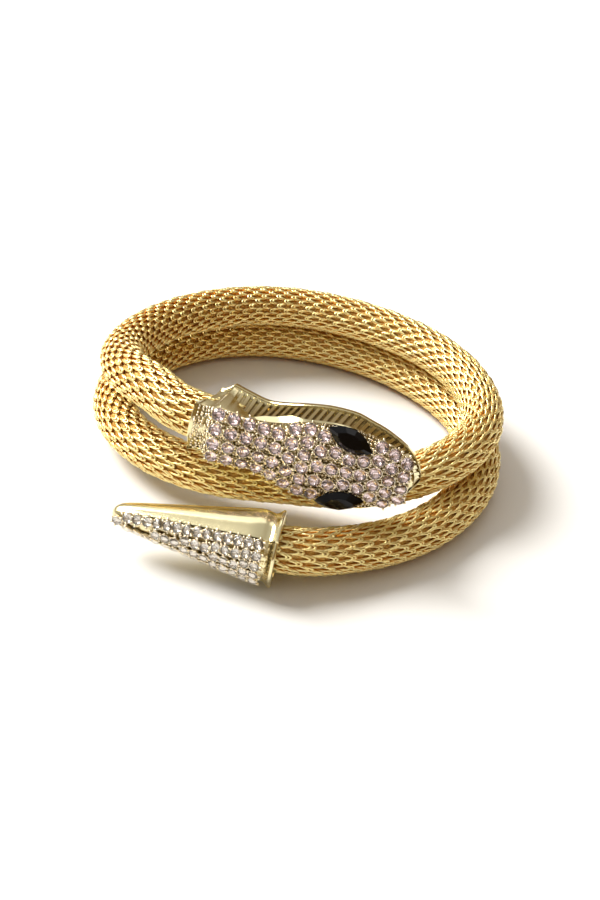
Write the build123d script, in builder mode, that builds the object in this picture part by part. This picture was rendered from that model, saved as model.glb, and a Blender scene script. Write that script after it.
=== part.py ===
"""Snake bracelet: a hollow woven tube coiled twice round, with a stone-set head and a stone-set tail.

The bracelet lies on the ground plane, with the coil's middle over the origin. A turn of 0 degrees
is at the front, towards -Y, and turns grow towards -X. The tube runs from the neck, at the front
left, over the back, round to the front behind the head, once more round on the ground, and into
the tail at the front.
"""

import os
from collections import namedtuple
from math import atan2, cos, degrees, floor, pi, radians, sin, sqrt, tan

from build123d import *

os.makedirs("parts", exist_ok=True)

# Woven tube
tube_diameter = 8.7
tube_wall = 1.4
coil_radius = 36.5  # centre line of the tube, measured at the back of the upper turn
route_step = 15.0  # degrees of turn between two points of the centre line
bend_share = 0.45  # how much of the shorter run a bend uses

# Sockets for the tube's ends
socket_clearance = 0.15
socket_play = 1.0  # from the tube's end to the socket's floor
collar_wall = 0.9
neck_run = 3.5  # straight piece of tube before the head's socket
tail_run = 2.5  # and before the tail's

# Head casting, measured along its own axis from the collar to the nose
head_length = 39.4
head_flare = 3.95  # the back rims reach this far past the tube on each side, at the eyes
head_width = tube_diameter + 2 * head_flare
head_depth = tube_diameter + 2 * (socket_clearance + collar_wall)  # over the collar
head_turn = 33.0  # where the collar stands on the coil
head_radius = 0.805 * coil_radius  # from the coil's middle to the collar's centre
head_height = 2.264 * tube_diameter  # of the collar's centre
head_yaw = -7.0  # the axis points to +X, turned this far towards the front
head_pitch = -2.2
head_lean = 10.0  # the stone-set face leans back from upright
rim_height = 0.9
socket_depth = 7.0
socket_lift = 0.9  # the tube enters above the collar's centre
collar_turn = 15.0  # the collar's mouth is turned square to the bending tube
collar_run = 5.9  # over which that turn fades
flute_pitch = 1.3
flute_width = 0.62
flute_proud = 0.22
flute_start = 4.2  # from the collar
flute_end = 2.6  # short of the nose

# Tail casting, measured along its own axis from the rim to the tip
tail_length = 29.4
bore_clearance = 1.2  # round the tube at the mouth of the rim
rim_wall = 1.25
tail_rim_radius = tube_diameter / 2 + bore_clearance + rim_wall
tail_yaw = 176.0  # the axis points to -X and a little to the back
tail_pitch = 1.5
tail_turn = 358.7  # where the rim stands on the coil, one turn below the head
tail_radius = 1.101 * coil_radius
bore_depth = 3.0
tail_socket_depth = 7.6
ridge_angle = 73.0  # of the crease along the top, from level with the front
pave_top_angle = 47.0  # upper edge of the stone bed
pave_bottom_angle = -58.0
bed_depth = 0.45  # the tail's stone bed lies below the polished band

# Stones
stone_diameter = 2.08
stone_height = 1.0
tail_stone_diameter = 1.62
tail_stone_height = 0.8
stone_gap = 0.09  # under each stone
stone_spacing = 0.12  # between neighbours, at the least
neck_spacing = 0.62  # between the head's columns at the collar
nose_spacing = 0.20  # and at the nose
head_first_column = 3.4  # from the collar
head_last_column = 3.0  # short of the nose
waist_ledge = 0.9  # bare strip above the stones at the waist
waist_share = 0.35  # of the head's length, where the waist is
waist_reach = 0.08
stone_edge = 0.50  # of a stone's diameter, from its middle to the edge of the head's bed
tail_stone_edge = 0.56
eye_length = 8.6
eye_width = 4.0
eye_height = 1.7
eye_share = 0.665  # of the head's length, where the eyes' middles are

Turn = namedtuple("Turn", "turn radius height")
Section = namedtuple("Section", "along back face crown under lift")
Eye = namedtuple("Eye", "name ahead across turn")
Girth = namedtuple("Girth", "along radius")

# The coil: turn in degrees, radius as a share of coil_radius, height as a share of tube_diameter
COIL = [
    Turn(54, 0.885, 2.52),
    Turn(72, 0.945, 2.24),
    Turn(92, 0.967, 1.87),
    Turn(112, 0.976, 1.67),
    Turn(140, 0.989, 1.56),
    Turn(170, 1.003, 1.54),
    Turn(200, 1.003, 1.54),
    Turn(230, 1.030, 1.54),
    Turn(260, 1.011, 1.54),
    Turn(280, 0.959, 1.51),
    Turn(297, 0.871, 1.41),
    Turn(315, 0.768, 1.22),
    Turn(340, 0.630, 0.99),
    Turn(365, 0.570, 0.83),
    Turn(388, 0.672, 0.82),
    Turn(410, 0.822, 0.83),
    Turn(430, 0.937, 0.79),
    Turn(455, 1.011, 0.64),
    Turn(480, 1.047, 0.52),
    Turn(510, 1.058, 0.50),
    Turn(545, 1.038, 0.50),
    Turn(580, 1.049, 0.50),
    Turn(605, 1.055, 0.50),
    Turn(630, 1.030, 0.50),
    Turn(655, 0.997, 0.50),
    Turn(680, 0.995, 0.52),
    Turn(702, 1.040, 0.64),
]

# The head: place along its length, half widths as shares of head_width / 2 at the back rim and at
# the edge of the stone bed, height of the bed's middle and of the back as shares of head_depth / 2,
# and how far the bed's middle stands up the face as a share of head_width / 2
HEAD = [
    Section(0.00, 0.58, 0.55, 1.00, 1.00, 0.08),
    Section(0.02, 0.76, 0.57, 1.01, 1.00, 0.08),
    Section(0.06, 0.83, 0.58, 1.01, 0.99, 0.08),
    Section(0.15, 0.76, 0.56, 0.97, 0.96, 0.06),
    Section(0.26, 0.70, 0.54, 0.85, 0.80, 0.03),
    Section(0.34, 0.78, 0.60, 0.80, 0.66, 0.01),
    Section(0.43, 0.90, 0.75, 0.79, 0.58, 0.00),
    Section(0.54, 1.00, 0.87, 0.79, 0.55, 0.00),
    Section(0.66, 1.01, 0.91, 0.76, 0.54, 0.00),
    Section(0.73, 0.93, 0.86, 0.70, 0.52, 0.00),
    Section(0.81, 0.82, 0.77, 0.62, 0.50, 0.00),
    Section(0.91, 0.60, 0.56, 0.47, 0.46, 0.00),
    Section(0.97, 0.39, 0.36, 0.36, 0.42, 0.00),
    Section(1.00, 0.16, 0.13, 0.28, 0.38, 0.00),
]
bed_drop = 0.20  # the bed's edge lies this share of head_depth / 2 below its middle

# The eyes: ahead of eye_share, across as a share of the bed's half width, turned in degrees
EYES = [Eye("eye_upper", 0.0, 0.75, -18.0), Eye("eye_lower", 0.5, -0.745, 13.0)]

# The tail: place along its length, radius as a share of tail_rim_radius
TAIL = [
    Girth(0.000, 1.00),
    Girth(0.020, 1.00),
    Girth(0.070, 0.93),
    Girth(0.120, 0.94),
    Girth(0.430, 0.70),
    Girth(0.750, 0.45),
    Girth(0.930, 0.29),
    Girth(0.980, 0.19),
    Girth(1.000, 0.06),
]


def blend(rows, name, place, key):
    """A column of a table at any place, smooth through the rows."""
    places = [getattr(row, key) for row in rows]
    values = [getattr(row, name) for row in rows]
    slopes = []
    for i in range(len(rows)):
        low, high = max(i - 1, 0), min(i + 1, len(rows) - 1)
        slopes.append((values[high] - values[low]) / (places[high] - places[low]))
    i = max(k for k in range(len(rows) - 1) if places[k] <= place or k == 0)
    span = places[i + 1] - places[i]
    t = min(max((place - places[i]) / span, 0.0), 1.0)
    a, b = values[i], values[i + 1]
    return (
        a * (2 * t**3 - 3 * t**2 + 1)
        + b * (3 * t**2 - 2 * t**3)
        + slopes[i] * span * (t**3 - 2 * t**2 + t)
        + slopes[i + 1] * span * (t**3 - t**2)
    )


def straight(rows, name, place):
    """A column of a table at any place, straight between the rows."""
    for low, high in zip(rows, rows[1:]):
        if place <= high.along:
            share = (place - low.along) / (high.along - low.along)
            return getattr(low, name) + share * (getattr(high, name) - getattr(low, name))
    return getattr(rows[-1], name)


def polar(turn, radius, height):
    return Vector(-radius * sin(radians(turn)), -radius * cos(radians(turn)), height)


def direction(yaw, pitch):
    level = cos(radians(pitch))
    return Vector(level * cos(radians(yaw)), level * sin(radians(yaw)), sin(radians(pitch)))


# Frames of the two castings: along their axis, across, and out of the stone-set face
head_base = polar(head_turn, head_radius, head_height)
head_along = direction(head_yaw, head_pitch)
head_level = Vector(0, 0, 1).cross(head_along).normalized() * -1
head_face = (head_level * cos(radians(head_lean)) + Vector(0, 0, 1) * sin(radians(head_lean)))
head_face = (head_face - head_along * head_face.dot(head_along)).normalized()
head_up = head_face.cross(head_along)

tail_base = polar(tail_turn, tail_radius, tail_rim_radius)
tail_along = direction(tail_yaw, tail_pitch)
tail_front = Vector(0, 0, 1).cross(tail_along).normalized()
tail_up = tail_along.cross(tail_front).normalized()


def head_point(along, up, out):
    return head_base + head_along * along + head_up * up + head_face * out


def head_plane(along):
    """Across the head: its x is up the face and its y is out of it."""
    return Plane(origin=head_point(along, 0, 0), x_dir=head_up, z_dir=head_along)


def section_plane(along):
    """The same, turned near the collar so that its front reaches further back along the tube."""
    turn = radians(collar_turn * max(0.0, 1 - along / collar_run))
    ahead = head_along * cos(turn) + head_face * sin(turn)
    return Plane(origin=head_point(along, 0, 0), x_dir=head_up, z_dir=ahead)


def tail_plane(along):
    """Across the tail: its x is towards the front and its y is up."""
    return Plane(origin=tail_base + tail_along * along, x_dir=tail_front, z_dir=tail_front.cross(tail_up))


# Woven tube
def tube_route():
    """Points of the tube's centre line, from inside the head's socket to inside the tail's."""
    neck = [head_point(along, socket_lift, 0) for along in (socket_depth - socket_play, -neck_run)]
    first, last = COIL[0].turn, COIL[-1].turn
    steps = round((last - first) / route_step)
    turns = [first + (last - first) * i / steps for i in range(steps + 1)]
    coil = []
    for turn in turns:
        radius = coil_radius * blend(COIL, "radius", turn, "turn")
        height = tube_diameter * blend(COIL, "height", turn, "turn")
        coil.append(polar(turn, radius, max(height, tube_diameter / 2)))
    ends = (-tail_run, tail_socket_depth - socket_play)
    tail = [tail_base + tail_along * along for along in ends]
    return neck + coil + tail


def bend_radii(points):
    """A radius at each inner point, from the shorter run and the turn there."""
    radii = []
    for before, here, after in zip(points, points[1:], points[2:]):
        a, b = here - before, after - here
        half = radians(a.get_angle(b)) / 2
        radii.append(bend_share * min(a.length, b.length) / tan(half))
    return radii


route = tube_route()
bends = bend_radii(route)
print("bend radii", [round(r, 1) for r in bends])

with BuildPart() as mesh_tube:
    with BuildLine() as centre_line:
        FilletPolyline(*route, radius=bends)
    with BuildSketch(Plane(origin=route[0], z_dir=route[1] - route[0])):
        Circle(tube_diameter / 2)
        Circle(tube_diameter / 2 - tube_wall, mode=Mode.SUBTRACT)
    sweep(path=centre_line.wire())
mesh_tube.part.label = "mesh_tube"
section_area = pi * (tube_diameter * tube_wall - tube_wall**2)
print("tube length", round(centre_line.wire().length, 1), "volume", round(mesh_tube.part.volume, 1))
print("section times length", round(section_area * centre_line.wire().length, 1))


# Head casting
def head_sizes(share):
    """Half width at the back and of the bed, heights of the bed's middle, its edge and the back."""
    back = straight(HEAD, "back", share) * head_width / 2
    face = straight(HEAD, "face", share) * head_width / 2
    crown = straight(HEAD, "crown", share) * head_depth / 2
    edge = crown - bed_drop * head_depth / 2 * min(1.0, face / (head_width / 4))
    under = -straight(HEAD, "under", share) * head_depth / 2
    return back, face, crown, edge, under


def bed_lift(share):
    return straight(HEAD, "lift", share) * head_width / 2


def bed_arc(share):
    """Radius and half angle of the domed bed, and the height of the arc's middle."""
    back, face, crown, edge, under = head_sizes(share)
    drop = crown - edge
    radius = (face**2 + drop**2) / (2 * drop)
    return radius, degrees(atan2(face, radius - drop)), crown


def bed_point(share, across):
    """A place on the head's stone bed and the bed's slope there; across runs from -1 to 1."""
    radius, half_angle, crown = bed_arc(share)
    tilt = across * half_angle
    up = bed_lift(share) + radius * sin(radians(tilt))
    return up, crown - radius + radius * cos(radians(tilt)), tilt


def flute_planes():
    """Where the flutes stand on both sides of the head, facing out of its sloped walls."""
    planes = []
    count = floor((head_length - flute_start - flute_end) / flute_pitch)
    for i in range(count + 1):
        along = flute_start + i * flute_pitch
        ends = []
        for at in (along - 0.3, along + 0.3):
            back, face, crown, edge, under = head_sizes(at / head_length)
            ends.append((at, (back + face) / 2, (edge + under + rim_height) / 2))
        back, face, crown, edge, under = head_sizes(along / head_length)
        wall = Vector(0, face - back, edge - under - rim_height)
        for side in (-1, 1):
            run = Vector(ends[1][0] - ends[0][0], side * (ends[1][1] - ends[0][1]), 0)
            rise = Vector(0, side * wall.Y, wall.Z)
            aside = side * (back + face) / 2 + bed_lift(along / head_length) / 2
            middle = head_point(along, aside, (edge + under + rim_height) / 2)
            tangent = head_along * run.X + head_up * run.Y
            climb = head_up * rise.Y + head_face * rise.Z
            outward = tangent.cross(climb) * -side
            planes.append((Plane(origin=middle, x_dir=tangent, z_dir=outward), wall.length))
    return planes


with BuildPart() as head_casting:
    for row in HEAD:
        back, face, crown, edge, under = head_sizes(row.along)
        lift = bed_lift(row.along)
        with BuildSketch(section_plane(row.along * head_length)):
            with BuildLine():
                ThreePointArc((lift - face, edge), (lift, crown), (lift + face, edge))
                Polyline(
                    (lift + face, edge),
                    (back, under + rim_height),
                    (back, under),
                    (-back, under),
                    (-back, under + rim_height),
                    (lift - face, edge),
                )
            make_face()
    loft(ruled=True)
    for place, length in flute_planes():
        with Locations(place):
            Box(flute_width, length * 0.78, flute_proud * 2 + 0.3)
    mouth_reach = head_depth / 2 * tan(radians(collar_turn)) + 0.5
    with Locations(head_plane(-mouth_reach)):
        with Locations((socket_lift, 0, 0)):
            Cylinder(
                tube_diameter / 2 + socket_clearance,
                mouth_reach + socket_depth,
                align=(Align.CENTER, Align.CENTER, Align.MIN),
                mode=Mode.SUBTRACT,
            )
head_casting.part.label = "head_casting"


# Tail casting
def tail_corners(radius):
    """The tail's outline at one place: a crease on top, a polished band and a sunk stone bed."""

    def at(angle, sunk=0.0):
        reach = radius - sunk
        return (reach * cos(radians(angle)), reach * sin(radians(angle)))

    drop = min(bed_depth, radius * 0.12)
    crease = at(ridge_angle)
    lip = at(pave_top_angle + 2)
    bed_high = at(pave_top_angle, drop)
    bed_mid = at((pave_top_angle + pave_bottom_angle) / 2, drop)
    bed_low = at(pave_bottom_angle, drop)
    foot = at(pave_bottom_angle - 3)
    back = at((ridge_angle + pave_bottom_angle - 3) / 2 + 180)
    return crease, lip, bed_high, bed_mid, bed_low, foot, back


with BuildPart() as tail_casting:
    for row in TAIL:
        crease, lip, bed_high, bed_mid, bed_low, foot, back = tail_corners(row.radius * tail_rim_radius)
        with BuildSketch(tail_plane(row.along * tail_length)):
            with BuildLine():
                Polyline(crease, lip, bed_high)
                ThreePointArc(bed_high, bed_mid, bed_low)
                Line(bed_low, foot)
                ThreePointArc(foot, back, crease)
            make_face()
    loft(ruled=True)
    with Locations(tail_plane(0)):
        Cylinder(
            tube_diameter / 2 + bore_clearance,
            bore_depth,
            align=(Align.CENTER, Align.CENTER, Align.MIN),
            mode=Mode.SUBTRACT,
        )
        Cylinder(
            tube_diameter / 2 + socket_clearance,
            tail_socket_depth,
            align=(Align.CENTER, Align.CENTER, Align.MIN),
            mode=Mode.SUBTRACT,
        )
tail_casting.part.label = "tail_casting"

# Stones
def cut_stone(diameter, height):
    """A low round stone: a table, eight crown facets, eight below and a flat foot."""
    with BuildPart() as stone:
        for share, rise in ((0.52, 0.0), (1.0, 0.5), (0.56, 1.0)):
            with BuildSketch(Plane.XY.offset(rise * height)):
                RegularPolygon(share * diameter / 2, 8)
        loft(ruled=True)
    return stone.part


def eye_stone():
    """A pointed oval with a table, twelve crown facets and a flat foot."""
    half, side = eye_length / 2, eye_width / 2
    bow = (half**2 + side**2) / (2 * side)
    upper = [(half * cos(radians(30 * k)), 0) for k in range(7)]
    upper = [(x, sqrt(bow**2 - x**2) - bow + side) for x, y in upper]
    lower = [(x, -y) for x, y in reversed(upper[1:-1])]
    with BuildPart() as stone:
        for share, rise in ((0.70, 0.0), (1.0, 0.35), (0.98, 0.45), (0.60, 1.0)):
            with BuildSketch(Plane.XY.offset(rise * eye_height)):
                Polygon(*[(x * share, y * share) for x, y in upper + lower], align=None)
        loft(ruled=True)
    return stone.part


def bed_place(along, across, turn=0.0):
    """A frame on the head's stone bed, a small gap above it, with its z out of the bed."""
    up, out, tilt = bed_point(along / head_length, across)
    before, after = (bed_point((along + step) / head_length, across)[1] for step in (-0.6, 0.6))
    slope = (after - before) / 1.2
    outward = head_face * cos(radians(tilt)) + head_up * sin(radians(tilt)) - head_along * slope
    outward = outward.normalized()
    ahead = (head_along - outward * head_along.dot(outward)).normalized()
    ahead = ahead.rotate(Axis((0, 0, 0), outward), turn)
    return Plane(origin=head_point(along, up, out) + outward * stone_gap, x_dir=ahead, z_dir=outward)


def clear_of_eyes(along, across):
    """Whether a round stone there keeps its spacing from both eyes' pointed ovals."""
    half, side = eye_length / 2, eye_width / 2
    bow = (half**2 + side**2) / (2 * side)
    reach = stone_diameter / 2 + stone_spacing
    up = bed_point(along / head_length, across)[0]
    for eye in EYES:
        middle = eye_share * head_length + eye.ahead
        ahead = along - middle
        aside = up - bed_point(middle / head_length, eye.across)[0]
        turn = radians(eye.turn)
        on = abs(ahead * cos(turn) + aside * sin(turn))
        off = abs(aside * cos(turn) - ahead * sin(turn))
        if on < half and sqrt(on**2 + (off + bow - side) ** 2) < bow + reach:
            return False
        if on >= half and sqrt((on - half) ** 2 + off**2) < reach:
            return False
    return True


def head_stone_places():
    """Columns across the head's bed, each as full as its room between the edges or the eyes."""
    first, last = head_first_column, head_length - head_last_column
    columns = [first]
    while columns[-1] < last:
        share = columns[-1] / head_length
        columns.append(columns[-1] + stone_diameter + neck_spacing + (nose_spacing - neck_spacing) * share)
    columns = columns[:-1]
    stretch = (last - first) / (columns[-1] - first)
    places = []
    for column in columns:
        along = first + (column - first) * stretch
        share = along / head_length
        radius, half_angle, crown = bed_arc(share)
        ledge = waist_ledge * max(0.0, 1 - abs(share - waist_share) / waist_reach)
        ends = []
        for side, strip in ((-1, 0.0), (1, ledge)):
            edge = 1 - degrees((stone_edge * stone_diameter + strip) / radius) / half_angle
            across = 0.0
            while across + 0.01 < edge and clear_of_eyes(along, side * (across + 0.01)):
                across += 0.01
            ends.append(side * across)
        low, high = ends
        room = radians((high - low) * half_angle) * radius
        count = max(1, floor(room / (stone_diameter + stone_spacing)) + 1)
        for i in range(count):
            across = (low + high) / 2 if count == 1 else low + (high - low) * i / (count - 1)
            places.append(bed_place(along, across))
    return places


def tail_stone_places():
    """Rings round the tail's sunk bed, from the rim to the tip."""
    places = []
    first, last = 0.105 * tail_length, 0.95 * tail_length
    rings = floor((last - first) / (tail_stone_diameter + stone_spacing))
    narrowing = (TAIL[3].radius - TAIL[5].radius) * tail_rim_radius
    narrowing = narrowing / ((TAIL[5].along - TAIL[3].along) * tail_length)
    for k in range(rings + 1):
        along = first + k * (last - first) / rings
        radius = straight(TAIL, "radius", along / tail_length) * tail_rim_radius
        radius = radius - min(bed_depth, radius * 0.12)
        reach = radius + tail_stone_height / 2
        margin = degrees(tail_stone_edge * tail_stone_diameter / reach)
        high, low = pave_top_angle - margin, pave_bottom_angle + margin
        room = radians(high - low) * radius
        count = max(1, floor(room / (tail_stone_diameter + stone_spacing)) + 1)
        for i in range(count):
            angle = (high + low) / 2 if count == 1 else low + (high - low) * i / (count - 1)
            out = tail_front * cos(radians(angle)) + tail_up * sin(radians(angle))
            outward = (out + tail_along * narrowing).normalized()
            origin = tail_base + tail_along * along + out * radius + outward * (stone_gap + 0.05)
            ahead = (tail_along - outward * tail_along.dot(outward)).normalized()
            places.append(Plane(origin=origin, x_dir=ahead, z_dir=outward))
    return places


def stone_field(stone, places):
    with BuildPart() as field:
        with Locations(*places):
            add(stone)
    return field


head_stones = stone_field(cut_stone(stone_diameter, stone_height), head_stone_places())
head_stones.part.label = "head_stones"
tail_stones = stone_field(cut_stone(tail_stone_diameter, tail_stone_height), tail_stone_places())
tail_stones.part.label = "tail_stones"


def eye(row):
    place = bed_place(eye_share * head_length + row.ahead, row.across, row.turn)
    return stone_field(eye_stone(), [place])


eye_upper, eye_lower = (eye(row) for row in EYES)
for made, row in zip((eye_upper, eye_lower), EYES):
    made.part.label = row.name

pieces = (mesh_tube, head_casting, head_stones, eye_upper, eye_lower, tail_casting, tail_stones)
for piece in pieces:
    print(piece.part.label, len(piece.part.solids()), round(piece.part.volume, 1))
    export_step(piece.part, "parts/" + piece.part.label + ".step")
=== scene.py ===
"""Snake bracelet: woven wire tube, two cast ends and their stones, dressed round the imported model."""

import random
from bisect import bisect_right
from collections import namedtuple
from math import cos, hypot, pi, radians, sin, tan

import bmesh
import bpy
from bpy.props import FloatProperty, FloatVectorProperty, IntProperty, PointerProperty
from mathutils import Matrix, Vector


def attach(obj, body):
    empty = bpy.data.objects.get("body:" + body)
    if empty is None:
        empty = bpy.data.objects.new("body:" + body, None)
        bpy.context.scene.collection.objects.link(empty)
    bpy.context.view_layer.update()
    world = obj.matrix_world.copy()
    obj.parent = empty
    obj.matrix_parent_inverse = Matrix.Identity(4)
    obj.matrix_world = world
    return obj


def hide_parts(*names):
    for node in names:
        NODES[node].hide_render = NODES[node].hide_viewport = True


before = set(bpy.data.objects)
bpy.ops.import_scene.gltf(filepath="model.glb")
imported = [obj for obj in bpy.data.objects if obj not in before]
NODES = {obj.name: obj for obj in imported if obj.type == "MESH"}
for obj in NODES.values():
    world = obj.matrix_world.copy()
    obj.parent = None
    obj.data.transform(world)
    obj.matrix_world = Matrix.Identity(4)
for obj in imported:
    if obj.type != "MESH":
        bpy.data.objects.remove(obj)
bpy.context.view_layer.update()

bl_info = {
    "name": "Snake Bracelet",
    "version": (1, 0, 0),
    "blender": (4, 5, 0),
    "location": "View3D > Sidebar > Bracelet",
    "description": "Makes a coiled bracelet of woven wire with a stone-set head and tail",
    "category": "Object",
}

MM = 0.001

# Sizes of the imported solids, in millimetres and degrees
TUBE_DIAMETER = 8.7
COIL_RADIUS = 36.5
ROUTE_STEP = 15.0
NECK_RUN = 3.5
TAIL_RUN = 2.5
HEAD_LENGTH = 39.4
HEAD_WIDTH = 16.6
HEAD_DEPTH = 10.8
HEAD_TURN = 33.0
HEAD_RADIUS = 0.805 * COIL_RADIUS
HEAD_HEIGHT = 2.264 * TUBE_DIAMETER
HEAD_YAW = -7.0
HEAD_PITCH = -2.2
HEAD_LEAN = 10.0
RIM_HEIGHT = 0.9
NECK_INSIDE = 6.0  # the tube's end lies this far inside the head
SOCKET_LIFT = 0.9
SOCKET_RADIUS = 4.5
COLLAR_TURN = 15.0  # the collar's mouth is turned square to the bending tube
COLLAR_RUN = 5.9
COLLAR_HOLLOW_RUN = 3.2  # the collar is hollowed over this length
COLLAR_LIP = 0.02  # the collar's mouth is smaller by this share
BED_DROP = 0.20
BED_END = 0.975  # the stone bed ends at this share of the head
NOSE_FROM = 0.91  # the head's outline rounds off from this share of the head
TAIL_LENGTH = 29.4
TAIL_RIM_RADIUS = 6.8
TAIL_YAW = 176.0
TAIL_PITCH = 1.5
TAIL_TURN = 358.7
TAIL_RADIUS = 1.101 * COIL_RADIUS
TAIL_INSIDE = 6.6
TAIL_BORE_RADIUS = 5.55
RIDGE_ANGLE = 73.0
PAVE_TOP_ANGLE = 47.0
PAVE_BOTTOM_ANGLE = -58.0
TAIL_BED_DEPTH = 0.45
TAIL_BAND_HOLLOW = 0.03  # the polished band is hollow by this share of the tail's radius

# Sizes of the scene alone, in millimetres unless they say otherwise
ROWS = 4  # rows in the length of weave that is repeated
LOOP_CREST = 0.14  # the risen end of a loop stands out by this share of its arch
LOOP_SAG = 0.05  # a loop's legs lie lower by this share of its arch halfway
BED_SUNK = 0.32  # the stones' bed lies this far below its edge
STRIP = 0.12  # width of the plain strip between the bed and the flutes
STRIP_WAIST = 0.42  # the upper strip is wider by this much at the head's waist
STRIP_FALL = 1.9  # the strip falls by this much for each millimetre of its width
SHORT_FLUTE = 0.25  # share of the wall's height that a flute takes beside the collar
FLUTE_GAIN = 0.72  # what is added to that share behind the collar
WALL_HOLLOW = 0.5  # depth of the wall's hollow beside the collar
SOCKET_MOUTH = 0.16  # the lip of the head's socket stands out by this much
TAIL_SOCKET = 3.0  # depth of the tail's socket
COLLET_DEPTH = 0.45
GRAIN_REACH = 0.2  # grains stand this far out from a stone's girdle
GRAINS_APART = 0.55
GRAIN_CLEAR = 1.25  # no grain of the bed stands nearer than this to the middle of a stone
SHARP_EDGE = 28  # degrees; edges of the castings that turn by more stay sharp
FLOOR_REACH = 2.5  # metres from the middle to each side
CAMERA_TARGET = Vector((1.7, -10.8, 8.0))
CAMERA_ELEVATION = 33.95  # degrees
CAMERA_ROLL = 9.35  # degrees
WINDOW_SIDE = Vector((-0.52, 0.16, 0.52))  # from the bracelet towards the window
WINDOW_WIDTH = 34.0  # degrees, as seen from the bracelet
SOFTBOX_PLACE = Vector((-0.10, 0.42, 0.85))  # metres
SOFTBOX_SIZE = (0.9, 0.5)  # metres

Turn = namedtuple("Turn", "turn radius height")
Section = namedtuple("Section", "along back face crown under lift")
Girth = namedtuple("Girth", "along radius")
HeadSize = namedtuple("HeadSize", "back crown under lift")
Flute = namedtuple("Flute", "place depth")
Ring = namedtuple("Ring", "corners radius height turn")

# The coil: turn in degrees, radius as a share of COIL_RADIUS, height as a share of TUBE_DIAMETER
COIL = [
    Turn(54, 0.885, 2.52),
    Turn(72, 0.945, 2.24),
    Turn(92, 0.967, 1.87),
    Turn(112, 0.976, 1.67),
    Turn(140, 0.989, 1.56),
    Turn(170, 1.003, 1.54),
    Turn(200, 1.003, 1.54),
    Turn(230, 1.030, 1.54),
    Turn(260, 1.011, 1.54),
    Turn(280, 0.959, 1.51),
    Turn(297, 0.871, 1.41),
    Turn(315, 0.768, 1.22),
    Turn(340, 0.630, 0.99),
    Turn(365, 0.570, 0.83),
    Turn(388, 0.672, 0.82),
    Turn(410, 0.822, 0.83),
    Turn(430, 0.937, 0.79),
    Turn(455, 1.011, 0.64),
    Turn(480, 1.047, 0.52),
    Turn(510, 1.058, 0.50),
    Turn(545, 1.038, 0.50),
    Turn(580, 1.049, 0.50),
    Turn(605, 1.055, 0.50),
    Turn(630, 1.030, 0.50),
    Turn(655, 0.997, 0.50),
    Turn(680, 0.995, 0.52),
    Turn(702, 1.040, 0.64),
]

# The head: place along it, half widths as shares of HEAD_WIDTH / 2 at the back rim and at the edge
# of the stone bed, heights of the bed's middle and of the back as shares of HEAD_DEPTH / 2, and how
# far the bed's middle stands up the face as a share of HEAD_WIDTH / 2
HEAD = [
    Section(0.00, 0.58, 0.55, 1.00, 1.00, 0.08),
    Section(0.02, 0.76, 0.57, 1.01, 1.00, 0.08),
    Section(0.06, 0.83, 0.58, 1.01, 0.99, 0.08),
    Section(0.15, 0.76, 0.56, 0.97, 0.96, 0.06),
    Section(0.26, 0.70, 0.54, 0.85, 0.80, 0.03),
    Section(0.34, 0.78, 0.60, 0.80, 0.66, 0.01),
    Section(0.43, 0.90, 0.75, 0.79, 0.58, 0.00),
    Section(0.54, 1.00, 0.87, 0.79, 0.55, 0.00),
    Section(0.66, 1.01, 0.91, 0.76, 0.54, 0.00),
    Section(0.73, 0.93, 0.86, 0.70, 0.52, 0.00),
    Section(0.81, 0.82, 0.77, 0.62, 0.50, 0.00),
    Section(0.91, 0.60, 0.56, 0.47, 0.46, 0.00),
    Section(0.97, 0.39, 0.36, 0.36, 0.42, 0.00),
    Section(1.00, 0.16, 0.13, 0.28, 0.38, 0.00),
]

# The tail: place along it, radius as a share of TAIL_RIM_RADIUS
TAIL = [
    Girth(0.000, 0.97),
    Girth(0.006, 1.00),
    Girth(0.020, 1.00),
    Girth(0.034, 0.94),
    Girth(0.055, 0.88),
    Girth(0.080, 0.89),
    Girth(0.110, 0.925),
    Girth(0.150, 0.92),
    Girth(0.430, 0.70),
    Girth(0.750, 0.45),
    Girth(0.930, 0.29),
    Girth(0.980, 0.19),
    Girth(1.000, 0.06),
]

# Places along the tail of the sections that shape its rim and the groove behind it
TAIL_RIM_PLACES = [0.004, 0.009, 0.014, 0.02, 0.028, 0.037, 0.048, 0.06, 0.072, 0.085, 0.1, 0.12]

# One flute of the head's wall: place in it, and its depth there as a share of the full depth
FLUTE = [Flute(0.0, 0), Flute(0.22, 0), Flute(0.29, 1), Flute(0.68, 1), Flute(0.75, 0)]

# Rings of corners of a round stone, from its table down: radius and height as shares of the stone's
# radius, and turn in degrees
CUT = [
    Ring(8, 0.56, 0.40, 22.5),
    Ring(8, 0.80, 0.26, 0.0),
    Ring(16, 1.0, 0.03, 11.25),
    Ring(16, 1.0, -0.03, 11.25),
    Ring(16, 0.72, -0.20, 0.0),
    Ring(8, 0.38, -0.34, 22.5),
    Ring(8, 0.08, -0.41, 0.0),
]


# Shapes shared by the pieces
def blend(rows, name, place, key):
    """A column of a table at any place, smooth through the rows."""
    places = [getattr(row, key) for row in rows]
    values = [getattr(row, name) for row in rows]
    slopes = []
    for i in range(len(rows)):
        low, high = max(i - 1, 0), min(i + 1, len(rows) - 1)
        slopes.append((values[high] - values[low]) / (places[high] - places[low]))
    i = max(k for k in range(len(rows) - 1) if places[k] <= place or k == 0)
    span = places[i + 1] - places[i]
    t = min(max((place - places[i]) / span, 0.0), 1.0)
    return (
        values[i] * (2 * t**3 - 3 * t**2 + 1)
        + values[i + 1] * (3 * t**2 - 2 * t**3)
        + slopes[i] * span * (t**3 - 2 * t**2 + t)
        + slopes[i + 1] * span * (t**3 - t**2)
    )


def polar(turn, radius, height):
    """A point on the coil's round, from the front over the left."""
    return Vector((-radius * sin(radians(turn)), -radius * cos(radians(turn)), height))


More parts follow.
